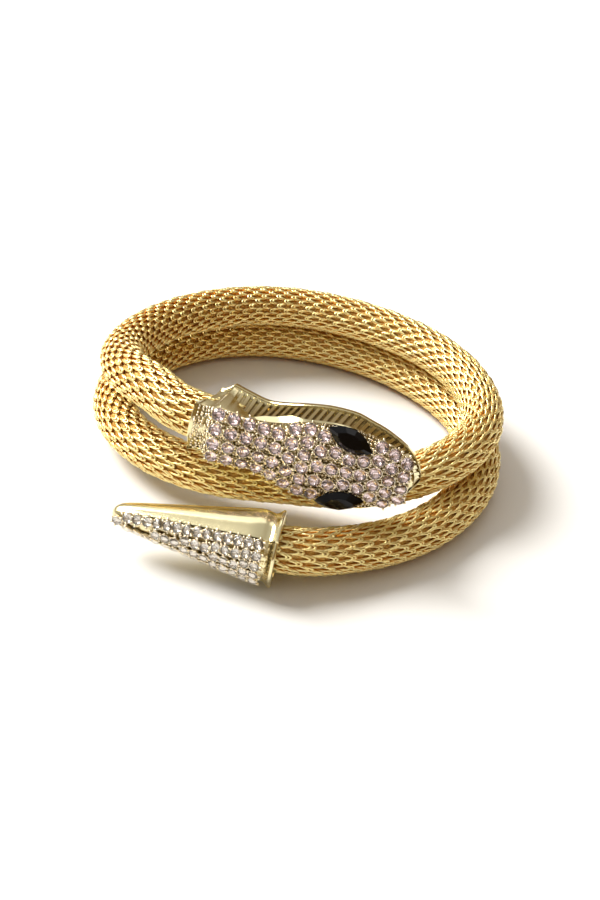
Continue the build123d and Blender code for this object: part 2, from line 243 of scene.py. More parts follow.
def direction(yaw, pitch):
    """A unit vector turned from +X and raised from the level."""
    level = cos(radians(pitch))
    return Vector((level * cos(radians(yaw)), level * sin(radians(yaw)), sin(radians(pitch))))


def placing(origin, x_axis, y_axis, z_axis):
    """From a casting's own millimetres to the frame's metres."""
    turned = Matrix((x_axis, y_axis, z_axis)).transposed().to_4x4()
    return Matrix.Scale(MM, 4) @ Matrix.Translation(origin) @ turned


def head_placing():
    """Along the head, up its face and out of its face."""
    along = direction(HEAD_YAW, HEAD_PITCH)
    level = -Vector((0, 0, 1)).cross(along).normalized()
    face = level * cos(radians(HEAD_LEAN)) + Vector((0, 0, 1)) * sin(radians(HEAD_LEAN))
    face = (face - along * face.dot(along)).normalized()
    base = polar(HEAD_TURN, HEAD_RADIUS, HEAD_HEIGHT)
    return placing(base, along, face.cross(along), face)


def tail_placing():
    """Along the tail, towards the front and up."""
    along = direction(TAIL_YAW, TAIL_PITCH)
    front = Vector((0, 0, 1)).cross(along).normalized()
    base = polar(TAIL_TURN, TAIL_RADIUS, TAIL_RIM_RADIUS)
    return placing(base, along, front, along.cross(front))


HEAD_PLACE = head_placing()
TAIL_PLACE = tail_placing()


def smooth_step(low, high, value):
    """Rises smoothly from 0 at low to 1 at high."""
    t = min(max((value - low) / (high - low), 0.0), 1.0)
    return t * t * (3 - 2 * t)


def new_object(name, data):
    """An object in the scene."""
    made = bpy.data.objects.new(name, data)
    bpy.context.scene.collection.objects.link(made)
    return made


def evaluated(maker):
    """The mesh that an object gives with its modifiers. The object itself is removed."""
    bpy.context.view_layer.update()
    mesh = bpy.data.meshes.new_from_object(maker.evaluated_get(bpy.context.evaluated_depsgraph_get()))
    bpy.data.objects.remove(maker)
    return mesh


def mesh_from(name, bm):
    """A mesh from a bmesh, which is freed."""
    mesh = bpy.data.meshes.new(name)
    bm.to_mesh(mesh)
    bm.free()
    return mesh


def mesh_piece(name, mesh, *materials):
    """A finished piece that rides on the bracelet."""
    mesh.name = name
    for material in materials:
        mesh.materials.append(material)
    piece = new_object(name, mesh)
    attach(piece, "root")
    return piece


def section_loop(bm, points):
    """A closed loop of edges through a section's corners."""
    verts = [bm.verts.new(point) for point in points]
    return [bm.edges.new((a, b)) for a, b in zip(verts, verts[1:] + verts[:1])]


def loft(bm, sections):
    """Bridges one section to the next and closes the last."""
    loops = [section_loop(bm, points) for points in sections]
    for before, after in zip(loops, loops[1:]):
        bmesh.ops.bridge_loops(bm, edges=before + after)
    bmesh.ops.contextual_create(bm, geom=loops[-1])


def casting(name, sections, place, metal):
    """A cast piece through its sections, smooth apart from its sharp edges."""
    bm = bmesh.new()
    loft(bm, sections)
    bmesh.ops.recalc_face_normals(bm, faces=bm.faces)
    for face in bm.faces:
        face.smooth = True
    for edge in bm.edges:
        if len(edge.link_faces) == 2:
            edge.smooth = edge.calc_face_angle(0.0) < radians(SHARP_EDGE)
    bm.transform(place)
    return mesh_piece(name, mesh_from(name, bm), metal)


# Materials
def linear(code):
    """An sRGB hex colour as linear values, opaque."""
    values = [int(code[i : i + 2], 16) / 255 for i in (0, 2, 4)]
    return [v / 12.92 if v <= 0.04045 else ((v + 0.055) / 1.055) ** 2.4 for v in values] + [1.0]


def add_node(tree, kind, settings=(), links=(), options=()):
    """Adds a node, sets its sockets and options, and links its inputs."""
    node = tree.nodes.new(kind)
    for name, value in dict(options).items():
        setattr(node, name, value)
    for name, value in dict(settings).items():
        node.inputs[name].default_value = value
    for name, source in dict(links).items():
        tree.links.new(source, node.inputs[name])
    return node


def new_material(name):
    """An empty material and its node tree."""
    material = bpy.data.materials.new(name)
    material.use_nodes = True
    material.node_tree.nodes.clear()
    return material, material.node_tree


def finish_material(tree, settings, links=()):
    """Adds the material's shader and its output."""
    shader = add_node(tree, "ShaderNodeBsdfPrincipled", settings, links)
    add_node(tree, "ShaderNodeOutputMaterial", links={"Surface": shader.outputs["BSDF"]})


def two_colours(tree, source, low, low_colour, high, high_colour):
    """A ramp from one colour to another."""
    ramp = add_node(tree, "ShaderNodeValToRGB", links={"Fac": source})
    ends = ramp.color_ramp.elements
    ends[0].position, ends[0].color = low, low_colour
    ends[1].position, ends[1].color = high, high_colour
    return ramp.outputs["Color"]


def painted_shade_colours(tree, reach, deep, bright):
    """A colour that darkens in narrow places: painted shade, where little light reaches."""
    # How closed in a place is sets how much painted shade it gets
    hollow = add_node(tree, "ShaderNodeAmbientOcclusion", {"Distance": reach * MM}, options={"samples": 6})
    return two_colours(tree, hollow.outputs["AO"], 0.2, deep, 0.85, bright)


def pattern(tree, kind, width, settings=()):
    """A texture in the piece's own space, with marks of a width in millimetres."""
    place = add_node(tree, "ShaderNodeTexCoord")
    settings = {"Scale": 1 / (width * MM), **dict(settings)}
    return add_node(tree, kind, settings, {"Vector": place.outputs["Object"]})


def relief(tree, source, strength, depth, invert=False):
    """A bump with a depth in millimetres."""
    settings = {"Strength": strength, "Distance": depth * MM}
    bump = add_node(tree, "ShaderNodeBump", settings, {"Height": source}, {"invert": invert})
    return bump.outputs["Normal"]


def gold_plated_wire(name, sizes):
    """Drawn brass wire, bright yellow gold plated: soft highlights, and painted shade, orange brown, where
    wires lie close.
    The marks of drawing are a third of a millimetre apart, coarser than real ones so that they show."""
    material, tree = new_material(name)
    colour = painted_shade_colours(tree, 1.5, sizes.wire_shade, sizes.wire_gold)
    drawn = pattern(tree, "ShaderNodeTexNoise", 0.36, {"Detail": 1.0})
    normal = relief(tree, drawn.outputs["Fac"], 0.8, 0.14)
    finish_material(tree, {"Metallic": 1.0, "Roughness": 0.37}, {"Base Color": colour, "Normal": normal})
    return material


def inner_weave(sizes):
    """Brass wires deep in the weave, orange brown and nearly matt, seen through the loops as cells half a
    millimetre across. The orange brown is partly painted shade of the weave's depths, and each cell is
    paler where it stands up and darker where it sinks: painted light and shade."""
    material, tree = new_material("inner_weave_brass")
    cells = pattern(tree, "ShaderNodeTexVoronoi", 0.55).outputs["Distance"]
    # Paler raised cell middles and darker sunk cell edges: painted shade
    colour = two_colours(tree, cells, 0.1, sizes.inner_bright, 0.7, sizes.inner_shade)
    normal = relief(tree, cells, 1.0, 0.25, invert=True)
    finish_material(tree, {"Metallic": 0.15, "Roughness": 0.45}, {"Base Color": colour, "Normal": normal})
    return material


def pale_gold_casting(name, reach, shade, gold):
    """Zinc alloy casting, polished and plated pale champagne gold: mirror bright, with faint waves from
    hand polishing a millimetre or two apart, and painted shade, dark brown, in recesses."""
    material, tree = new_material(name)
    colour = painted_shade_colours(tree, reach, shade, gold)
    waves = pattern(tree, "ShaderNodeTexNoise", 1.6, {"Detail": 2.0})
    normal = relief(tree, waves.outputs["Fac"], 0.25, 0.08)
    finish_material(tree, {"Metallic": 1.0, "Roughness": 0.18}, {"Base Color": colour, "Normal": normal})
    return material


def rhinestone_glass(name, colour):
    """Cut and polished lead glass, clear with a faint tint, bright where a facet throws light back."""
    material, tree = new_material(name)
    settings = {"Base Color": colour, "Roughness": 0.02, "IOR": 1.58, "Transmission Weight": 1.0}
    finish_material(tree, settings)
    return material


def rhinestone_foil():
    """The silvered back of a rhinestone, a soft mirror behind the glass that makes it sparkle."""
    material, tree = new_material("silver_foil")
    finish_material(tree, {"Base Color": linear("f8f7f6"), "Roughness": 0.16, "Metallic": 1.0})
    return material


def jet_glass():
    """Opaque black glass, cut and polished, with a faint haze in patches a millimetre and a half across."""
    material, tree = new_material("jet_glass")
    haze = pattern(tree, "ShaderNodeTexNoise", 1.5, {"Detail": 2.0})
    limits = {"To Min": 0.04, "To Max": 0.16}
    polish = add_node(tree, "ShaderNodeMapRange", limits, {"Value": haze.outputs["Fac"]})
    settings = {"Base Color": linear("040407"), "IOR": 1.5, "Specular IOR Level": 0.25}
    finish_material(tree, settings, {"Roughness": polish.outputs["Result"]})
    return material


def white_card():
    """Pressed white card, matt and even, with a grain a little under a millimetre."""
    material, tree = new_material("white_card")
    grain_marks = pattern(tree, "ShaderNodeTexNoise", 0.8, {"Detail": 2.0})
    normal = relief(tree, grain_marks.outputs["Fac"], 0.05, 0.02)
    settings = {"Base Color": linear("edecea"), "Roughness": 0.9, "Specular IOR Level": 0.1}
    finish_material(tree, settings, {"Normal": normal})
    return material


# Woven tube
def tube_line():
    """The tube's centre line as a smooth spline, from inside the head to inside the tail."""
    points = [HEAD_PLACE @ Vector((at, SOCKET_LIFT, 0)) for at in (NECK_INSIDE, -NECK_RUN)]
    first, last = COIL[0].turn, COIL[-1].turn
    steps = round((last - first) / ROUTE_STEP)
    for i in range(steps + 1):
        turn = first + (last - first) * i / steps
        height = max(TUBE_DIAMETER * blend(COIL, "height", turn, "turn"), TUBE_DIAMETER / 2)
        points.append(polar(turn, COIL_RADIUS * blend(COIL, "radius", turn, "turn"), height) * MM)
    points += [TAIL_PLACE @ Vector((at, 0, 0)) for at in (-TAIL_RUN, TAIL_INSIDE)]
    curve = bpy.data.curves.new("tube_line", "CURVE")
    curve.dimensions = "3D"
    curve.resolution_u = 16
    spline = curve.splines.new("NURBS")
    spline.points.add(len(points) - 1)
    for place, point in zip(spline.points, points):
        place.co = (*point, 1.0)
    spline.order_u = 3
    spline.use_endpoint_u = True
    return new_object("tube_line", curve), spline.calc_length()


def wire_rows(sizes):
    """Neighbouring rows of two wires each, every wire a wave round the tube. One end of each loop dives
    under the next row, and the other stands up over the row before, like a scale."""
    wire = sizes.wire_diameter
    reach = sizes.weave_overlap * sizes.row_pitch
    arch = sizes.arch_height
    crest = LOOP_CREST * arch
    sag = -LOOP_SAG * arch
    top = (TUBE_DIAMETER * MM - wire) / 2 - crest
    bow = sizes.loop_bow
    corners = (
        (-bow, reach, -arch),
        (bow, reach, -arch),
        (0.25, 0.0, sag),
        (0.5 - bow, -reach, crest),
        (0.5 + bow, -reach, crest),
        (0.75, 0.0, sag),
    )
    chance = random.Random(3)
    curve = bpy.data.curves.new("wire_rows", "CURVE")
    curve.dimensions = "3D"
    curve.bevel_depth = wire / 2
    curve.bevel_resolution = 0
    curve.resolution_u = 2
    for k, strand in ((k, strand) for k in range(ROWS) for strand in (-0.5, 0.5)):
        spline = curve.splines.new("NURBS")
        spline.points.add(len(corners) * sizes.loops_round - 1)
        for i, place in enumerate(spline.points):
            phase, along, out = corners[i % len(corners)]
            loop = i // len(corners) + phase + k / 2 + chance.uniform(-0.02, 0.02)
            turn = 2 * pi * loop / sizes.loops_round
            radius = top + out - chance.uniform(0.0, 0.07) * MM
            row = k * sizes.row_pitch + strand * sizes.strand_gap
            x = row + along * chance.uniform(0.94, 1.05)
            place.co = (x, radius * cos(turn), radius * sin(turn), 1.0)
        spline.order_u = 3
        spline.use_cyclic_u = True
    mesh = evaluated(new_object("wire_rows", curve))
    for polygon in mesh.polygons:
        polygon.use_smooth = True
    return mesh


def woven_length(name, wires, line, start, count, pitch):
    """A stretch of the weave, arrayed in a straight line and bent along the tube's centre line."""
    mesh = wires.copy()
    mesh.transform(Matrix.Translation((start, 0, 0)))
    rows = new_object(name, mesh)
    array = rows.modifiers.new("rows", "ARRAY")
    array.count = count
    array.use_relative_offset = False
    array.use_constant_offset = True
    array.constant_offset_displace = (ROWS * pitch, 0, 0)
    bend = rows.modifiers.new("coil", "CURVE")
    bend.object = line
    return evaluated(rows)


def inner_layer(line, radius):
    """The inner side of the weave as one closed sleeve along the tube's centre line."""
    curve = line.data.copy()
    curve.bevel_depth = radius
    curve.bevel_resolution = 6
    curve.use_fill_caps = True
    mesh = evaluated(new_object("sleeve", curve))
    for polygon in mesh.polygons:
        polygon.use_smooth = True
    return mesh


class BRACELET_OT_woven_tube(bpy.types.Operator):
    """Makes the woven wire tube in four lengths and its inner side"""

    bl_idname = "bracelet.woven_tube"
    bl_label = "Woven Tube"

    def execute(self, context):
        sizes = context.scene.bracelet_weave
        colours = context.scene.bracelet_finish
        line, length = tube_line()
        wires = wire_rows(sizes)
        pitch = sizes.row_pitch
        groups = int(length / (ROWS * pitch))
        gold = gold_plated_wire("gold_plated_wire", colours)
        names = ("woven_tube_neck", "woven_tube_upper", "woven_tube_lower", "woven_tube_tail")
        begun = 0
        for i, name in enumerate(names):
            upto = round(groups * (i + 1) / len(names))
            start = (begun * ROWS + 0.5) * pitch
            mesh = woven_length(name, wires, line, start, upto - begun, pitch)
            piece = mesh_piece(name, mesh, gold)
            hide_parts("mesh_tube")
            begun = upto
        sleeve = inner_layer(line, sizes.inner_radius)
        inside = mesh_piece("woven_tube_inside", sleeve, inner_weave(colours))
        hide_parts("mesh_tube")
        bpy.data.objects.remove(line)
        return {"FINISHED"}


# Head
def head_sizes(share):
    """Half width of the back rim, heights of the bed's middle and of the back, and the bed's lift, all in
    millimetres at a place along the head."""
    back = blend(HEAD, "back", share, "along") * HEAD_WIDTH / 2
    crown = blend(HEAD, "crown", share, "along") * HEAD_DEPTH / 2
    under = -blend(HEAD, "under", share, "along") * HEAD_DEPTH / 2
    lift = blend(HEAD, "lift", share, "along") * HEAD_WIDTH / 2
    if share > NOSE_FROM:
        back = blend(HEAD, "back", NOSE_FROM, "along") * HEAD_WIDTH / 2
        back = back * ((1 - share) / (1 - NOSE_FROM)) ** 0.55
    return HeadSize(back, crown, under, lift)


def bed_share(share):
    """Where the bed's edge stands beside a place on the rim: it ends before the nose does."""
    start = 0.75
    if share <= start:
        return share
    return start + (share - start) * (BED_END - start) / (1 - start)


def bed_half(share):
    """Half width of the stone bed, rounded off at its end."""
    start = 0.88
    if share <= start:
        return blend(HEAD, "face", share, "along") * HEAD_WIDTH / 2
    full = blend(HEAD, "face", start, "along") * HEAD_WIDTH / 2
    return full * max((BED_END - share) / (BED_END - start), 0.0) ** 0.5


def head_stations(sizes):
    """Places along the head with the depth of the flutes there, even along its curved outline."""
    steps = 4000
    places = [i / steps for i in range(steps + 1)]
    run, lengths = 0.0, [0.0]
    for a, b in zip(places, places[1:]):
        run += hypot((b - a) * HEAD_LENGTH, head_sizes(b).back - head_sizes(a).back)
        lengths.append(run)
    stations = []
    count = int(run * MM / sizes.flute_pitch)
    for i in range(count):
        for corner in FLUTE:
            target = (i + corner.place) * run / count
            stations.append((places[bisect_right(lengths, target) - 1], corner.depth))
    return stations


def collar_share(along, hollow):
    """The head's girth as a share of its full girth: its collar is hollow between rim and bed."""
    t = min(1.0, along / COLLAR_HOLLOW_RUN)
    return 1 - hollow * sin(pi * t) - COLLAR_LIP * (1 - t)


def collar_turn(along):
    """How far a section is turned towards the bending tube, in radians."""
    return radians(COLLAR_TURN * max(0.0, 1 - along / COLLAR_RUN))


def outline_normal(share):
    """Straight out of the head's outline at a place: along the head and sideways."""
    after = min(share + 0.002, 1.0)
    if share >= after:
        return Vector((1, 0))
    wider = head_sizes(after).back - head_sizes(share).back
    return Vector((-wider, (after - share) * HEAD_LENGTH)).normalized()


def head_section(share, fluted, sizes):
    """A section's corners: across the bed, down the upper side, across the back and up again."""
    here = head_sizes(share)
    back, under, lift = here.back, here.under, here.lift
    inner = bed_share(share)
    bed = bed_half(inner)
    bed_crown = blend(HEAD, "crown", inner, "along") * HEAD_DEPTH / 2
    drop = BED_DROP * HEAD_DEPTH / 2 * min(1.0, bed / (HEAD_WIDTH / 4))
    edge = bed_crown - drop
    top = under + RIM_HEIGHT
    a, b = share * HEAD_LENGTH, inner * HEAD_LENGTH
    sunk = min(BED_SUNK, bed * 0.2)
    narrow = min(1.0, back / 1.5)
    waist = smooth_step(0.23, 0.31, share) * (1 - smooth_step(0.40, 0.50, share))
    turn = collar_turn(a)
    flare = collar_share(a, sizes.collar_hollow)
    outward = outline_normal(share)
    lean = sizes.flute_lean / MM * smooth_step(0.1, 0.3, share) * (1 - smooth_step(0.75, 1.0, share))

    def at(x, side, out, height, lifted):
        """A corner: side runs from -1 below to 1 above, and lifted is its share of the bed's lift."""
        y = (side * out + lift * lifted - SOCKET_LIFT) * flare + SOCKET_LIFT
        height = height * flare
        return Vector((x - height * sin(turn), y, height * cos(turn)))

    def half(side):
        """The corners from the bed's edge down the wall and round the rim to the middle of the back."""
        strip = STRIP + STRIP_WAIST * waist * (side > 0)
        wall_top = (b - lean, bed + strip, edge - strip * STRIP_FALL)
        wall_foot = (a, back - 0.40 * narrow, top + 0.05)
        spread_out = Vector((wall_foot[0] - b, wall_foot[1] - wall_top[1])).length
        slope = Vector((spread_out, wall_foot[2] - wall_top[2])).normalized()
        fading = smooth_step(0.06, 0.24, share) * (1 - 0.6 * smooth_step(0.86, 0.97, share))
        depth = sizes.flute_depth / MM * fluted * min(1.0, back / 1.2) * fading
        length = SHORT_FLUTE + FLUTE_GAIN * smooth_step(0.07, 0.27, share)
        hollow = WALL_HOLLOW * (1 - smooth_step(0.2, 0.32, share)) * smooth_step(0.0, 0.05, share)

        def wall(t, deep=0.0):
            """A corner of the wall, at a share of its way down and sunk by deep."""
            out = [p + (q - p) * t for p, q in zip(wall_top, wall_foot)]
            inward = deep + hollow * 4 * t * (1 - t)
            x = out[0] + outward.x * slope.y * inward
            return at(x, side, out[1] + outward.y * slope.y * inward, out[2] - slope.x * inward, 1 - t)

        return [
            at(b, side, bed - 0.16, edge - sunk, 1),
            at(b, side, bed - 0.10, edge, 1),
            at(b, side, bed + 0.04, edge - 0.03, 1),
            wall(0.0),
            wall(1 - length),
            wall(1 - length * 0.9, depth * 0.9),
            wall(0.93, depth),
            wall(0.965),
            at(a, side, back - 0.34 * narrow, top + 0.22, 0),
            at(a, side, back - 0.10 * narrow, top + 0.22, 0),
            at(a, side, back, top + 0.10, 0),
            at(a, side, back, under + 0.2, 0),
            at(a, side, back - 0.2 * narrow, under, 0),
            at(a, side, back * 0.5, under, 0),
        ]

    across = []
    for k in range(1, 10):
        u = k / 5 - 1
        across.append(at(b, u, bed - 0.16, edge - sunk + drop * (1 - u * u), 1))
    return across + half(1) + [at(a, 1, 0, under, 0)] + half(-1)[::-1]


def head_socket(first):
    """Sections from the bottom of the socket to the lip round its mouth, corner by corner beside the
    head's first section."""
    bore = []
    for p in first:
        out = Vector((0, p.y - SOCKET_LIFT, p.z)).normalized() * SOCKET_RADIUS
        bore.append(Vector((-out.z * tan(radians(COLLAR_TURN)), SOCKET_LIFT + out.y, out.z)))
    rise = Vector((-SOCKET_MOUTH, 0, 0))
    lip = [p.lerp(q, 0.15) + rise for p, q in zip(first, bore)]
    mouth = [p.lerp(q, 0.8) + rise for p, q in zip(first, bore)]
    deep = [Vector((NECK_INSIDE, p.y, p.z)) for p in bore]
    return [deep, bore, mouth, lip]


class BRACELET_OT_head(bpy.types.Operator):
    """Makes the cast head with its rim, fluted sides and sunk stone bed"""

    bl_idname = "bracelet.head"
    bl_label = "Head"

    def execute(self, context):
        sizes = context.scene.bracelet_castings
        colours = context.scene.bracelet_finish
        metal = pale_gold_casting("head_gold_casting", 0.9, colours.cast_shade, colours.cast_gold)
        sections = [head_section(share, fluted, sizes) for share, fluted in head_stations(sizes)]
        piece = casting("head_body", head_socket(sections[0]) + sections, HEAD_PLACE, metal)
        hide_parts("head_casting")
        return {"FINISHED"}


# Tail
def tail_section(share):
    """A section's corners: over the polished band, down the sunk bed and round the back."""
    radius = blend(TAIL, "radius", share, "along") * TAIL_RIM_RADIUS
    drop = min(TAIL_BED_DEPTH, radius * 0.12)
    x = share * TAIL_LENGTH

    def at(angle, sunk=0.0):
        """A corner at an angle up from the front."""
        reach = radius - sunk
        return Vector((x, reach * cos(radians(angle)), reach * sin(radians(angle))))

    points = [at(RIDGE_ANGLE)]
    for k in range(1, 4):
        angle = RIDGE_ANGLE + (PAVE_TOP_ANGLE + 2 - RIDGE_ANGLE) * k / 4
        points.append(at(angle, TAIL_BAND_HOLLOW * radius * sin(pi * k / 4)))
    points.append(at(PAVE_TOP_ANGLE + 2))
    points.append(at(PAVE_TOP_ANGLE + 0.5, drop * 0.5))
    for k in range(9):
        angle = PAVE_TOP_ANGLE + (PAVE_BOTTOM_ANGLE - PAVE_TOP_ANGLE) * k / 8
        points.append(at(angle, drop))
    points.append(at(PAVE_BOTTOM_ANGLE - 3))
    sweep = 360 - RIDGE_ANGLE + PAVE_BOTTOM_ANGLE - 3
    for k in range(1, 18):
        points.append(at(PAVE_BOTTOM_ANGLE - 3 - sweep * k / 18))
    return points


def tail_socket(first):
    """Sections from the bottom of the socket to the lip round its mouth, corner by corner beside the
    tail's first section."""
    lip = [Vector((0, p.y * 0.985, p.z * 0.985)) for p in first]
    mouth = [Vector((0.05, p.y, p.z)).lerp(Vector((0.05, 0, 0)), 0.12) for p in first]
    bore = []
    for p in first:
        out = Vector((0, p.y, p.z)).normalized()
        bore.append(Vector((0.3, 0, 0)) + out * TAIL_BORE_RADIUS)
    deep = [p + Vector((TAIL_SOCKET, 0, 0)) for p in bore]
    end = [Vector((p.x, p.y * 0.7, p.z * 0.7)) for p in deep]
    return [end, deep, bore, mouth, lip]


class BRACELET_OT_tail(bpy.types.Operator):
    """Makes the cast tail with its rim, polished band and sunk stone bed"""

    bl_idname = "bracelet.tail"
    bl_label = "Tail"

    def execute(self, context):
        colours = context.scene.bracelet_finish
        metal = pale_gold_casting("tail_gold_casting", 0.9, colours.cast_shade, colours.cast_gold)
        shares = TAIL_RIM_PLACES + [0.12 + 0.86 * k / 30 for k in range(1, 31)] + [0.99, 0.997]
        sections = tail_socket(tail_section(0)) + [tail_section(share) for share in shares]
        piece = casting("tail_body", sections, TAIL_PLACE, metal)
        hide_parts("tail_casting")
        return {"FINISHED"}


# Stones
def stone_seats(node, along):
    """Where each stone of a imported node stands: its middle, z out of its table and x along the casting."""
    bm = bmesh.new()
    bm.from_mesh(NODES[node].data)
    bmesh.ops.remove_doubles(bm, verts=bm.verts, dist=0.001 * MM)
    bmesh.ops.dissolve_limit(bm, angle_limit=radians(1), verts=bm.verts, edges=bm.edges)
    seats, seen = [], set()
    for first in bm.verts:
        if first in seen:
            continue
        seen.add(first)
        island = [first]
        for vert in island:
            for edge in vert.link_edges:
                other = edge.other_vert(vert)
                if other not in seen:
                    seen.add(other)
                    island.append(other)
        faces = [face for vert in island for face in vert.link_faces]
        table = max(faces, key=lambda face: face.calc_area())
        z = table.normal.copy()
        middle = sum((vert.co for vert in island), Vector()) / len(island)
        x = (along - z * along.dot(z)).normalized()
        seats.append(Matrix.Translation(middle) @ Matrix((x, z.cross(x), z)).transposed().to_4x4())
    bm.free()
    return seats


def cut_round(diameter):
    """A round brilliant in millimetres: table, kites and girdle of clear glass, and a cone of facets
    with foil behind it."""
    bm = bmesh.new()
    r = diameter / 2
    for ring in CUT:
        turned = Matrix.Rotation(radians(ring.turn), 4, "Z")
        place = Matrix.Translation((0, 0, ring.height * r)) @ turned
        bmesh.ops.create_circle(bm, segments=ring.corners, radius=ring.radius * r, matrix=place)
    bmesh.ops.convex_hull(bm, input=bm.verts)
    bmesh.ops.dissolve_limit(bm, angle_limit=radians(2), verts=bm.verts, edges=bm.edges)
    bmesh.ops.recalc_face_normals(bm, faces=bm.faces)
    for face in bm.faces:
        face.material_index = 1 if face.normal.z < -0.05 else 0
    return mesh_from("cut_round", bm)


def collet(diameter):
    """A thin ring of metal round a stone, rolled over its girdle, in millimetres."""
    bm = bmesh.new()
    r = diameter / 2
    profile = (
        (r - 0.02, -COLLET_DEPTH),
        (r + 0.08, -0.16),
        (r + 0.09, 0.0),
        (r + 0.06, 0.08),
        (r - 0.02, 0.06),
    )
    verts = [bm.verts.new((x, 0, z)) for x, z in profile]
    edges = [bm.edges.new(pair) for pair in zip(verts, verts[1:])]
    bmesh.ops.spin(
        bm,
        geom=verts + edges,
        axis=(0, 0, 1),
        cent=(0, 0, 0),
        dvec=(0, 0, 0),
        angle=2 * pi,
        steps=18,
        use_merge=True,
    )
    bmesh.ops.remove_doubles(bm, verts=bm.verts, dist=0.001)
    bmesh.ops.recalc_face_normals(bm, faces=bm.faces)
    for face in bm.faces:
        face.smooth = True
    return mesh_from("collet", bm)


def spread(name, mesh, seats):
    """Copies of a mesh in millimetres at every seat, joined in one mesh."""
    bm = bmesh.new()
    for seat in seats:
        copy = mesh.copy()
        copy.transform(seat @ Matrix.Scale(MM, 4))
        bm.from_mesh(copy)
        bpy.data.meshes.remove(copy)
    return mesh_from(name, bm)


def grain(radius):
    """A raised bead of metal that holds the stones beside it."""
    bm = bmesh.new()
    bmesh.ops.create_icosphere(bm, subdivisions=2, radius=radius)
    for face in bm.faces:
        face.smooth = True
    return mesh_from("grain", bm)


def grain_seats(seats, reach, chance):
    """Places for grains round the stones, larger and smaller, a little out of line."""
    places = []
    for seat in seats:
        for k in range(6):
            turn = radians(60 * k + 30 + chance.uniform(-16, 16))
            far = reach + chance.uniform(-0.05, 0.12)
            at = Vector((far * cos(turn), far * sin(turn), 0.02 + chance.uniform(-0.12, 0.1))) * MM
            size = chance.uniform(0.65, 1.2)
            stretch = Matrix.Diagonal((size * 1.25, size * 0.85, size, 1.0))
            places.append(seat @ Matrix.Translation(at) @ Matrix.Rotation(turn, 4, "Z") @ stretch)
    return places


def bed_grains(seats, hollow, chance):
    """Places for grains on the head's bed and collar, wherever no stone stands."""
    places = []
    for i in range(1, int(0.97 * HEAD_LENGTH / GRAINS_APART)):
        along = i * GRAINS_APART
        share = along / HEAD_LENGTH
        bed = bed_half(share) - 0.3
        here = head_sizes(share)
        turn = collar_turn(along)
        flare = collar_share(along, hollow)
        count = int(2 * bed / GRAINS_APART)
        for j in range(count + 1):
            y = (2 * j / max(count, 1) - 1) * bed + chance.uniform(-0.12, 0.12)
            height = here.crown - BED_DROP * HEAD_DEPTH / 2 * (y / bed) ** 2 - 0.2
            height *= flare
            x = along - height * sin(turn) + chance.uniform(-0.22, 0.22)
            out = (here.lift + y - SOCKET_LIFT) * flare + SOCKET_LIFT
            place = HEAD_PLACE @ Vector((x, out, height * cos(turn)))
            if min((seat.translation - place).length for seat in seats) > GRAIN_CLEAR * MM:
                size = chance.uniform(0.8, 1.3)
                places.append(Matrix.Translation(place) @ Matrix.Scale(size, 4))
    return places


def tipped(seats, chance):
    """The stones' seats, each a little out of true and turned at random."""
    places = []
    for seat in seats:
        tip = Matrix.Rotation(radians(chance.uniform(-11, 11)), 4, "X")
        tip = tip @ Matrix.Rotation(radians(chance.uniform(-11, 11)), 4, "Y")
        places.append(seat @ tip @ Matrix.Rotation(chance.uniform(0, pi), 4, "Z"))
    return places


class BRACELET_OT_stones(bpy.types.Operator):
    """Sets the round stones of head and tail in thin rings with grains between them"""

    bl_idname = "bracelet.stones"
    bl_label = "Round Stones"

    def execute(self, context):
        sizes = context.scene.bracelet_stones
        colours = context.scene.bracelet_finish
        # The setting's metal, with painted shade within 0.3 mm of the stones
        metal = pale_gold_casting("pale_gold_setting", 0.3, colours.set_shade, colours.set_gold)
        foil = rhinestone_foil()
        chance = random.Random(7)
        fields = (
            ("head", HEAD_PLACE, "pale_crystal", sizes.head_stone / MM, colours.head_crystal),
            ("tail", TAIL_PLACE, "clear_crystal", sizes.tail_stone / MM, colours.tail_crystal),
        )
        for name, place, slot, diameter, colour in fields:
            node = name + "_stones"
            along = (place.to_3x3() @ Vector((1, 0, 0))).normalized()
            lower = Matrix.Translation((0, 0, -sizes.stone_sink))
            seats = [seat @ lower for seat in stone_seats(node, along)]
            glass = rhinestone_glass(name + "_rhinestone_glass", colour)
            stones = spread(name, cut_round(diameter), tipped(seats, chance))
            stones = mesh_piece(name + "_round_stones", stones, glass, foil)
            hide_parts(node)
            rings = spread(name + "_rings", collet(diameter), seats)
            rings = mesh_piece(name + "_stone_rings", rings, metal)
            places = grain_seats(seats, diameter / 2 + GRAIN_REACH, chance)
            if name == "head":
                places += bed_grains(seats, context.scene.bracelet_castings.collar_hollow, chance)
            beads = spread(name + "_grains", grain(sizes.grain_size / MM / 2), places)
            beads = mesh_piece(name + "_grains", beads, metal)
        return {"FINISHED"}


class BRACELET_OT_eyes(bpy.types.Operator):
    """Gives the two pointed oval eyes their black glass"""

    bl_idname = "bracelet.eyes"
    bl_label = "Eyes"

    def execute(self, context):
        glass = jet_glass()
        for name in ("eye_upper", "eye_lower"):
            eye = NODES[name]
            eye.data.materials.clear()
            eye.data.materials.append(glass)
        return {"FINISHED"}


# Stage
def wide_floor():
    """A white floor that reaches far past the bracelet."""
    bm = bmesh.new()
    bmesh.ops.create_grid(bm, x_segments=1, y_segments=1, size=FLOOR_REACH)
    mesh = mesh_from("floor", bm)
    mesh.materials.append(white_card())
    return new_object("floor", mesh)


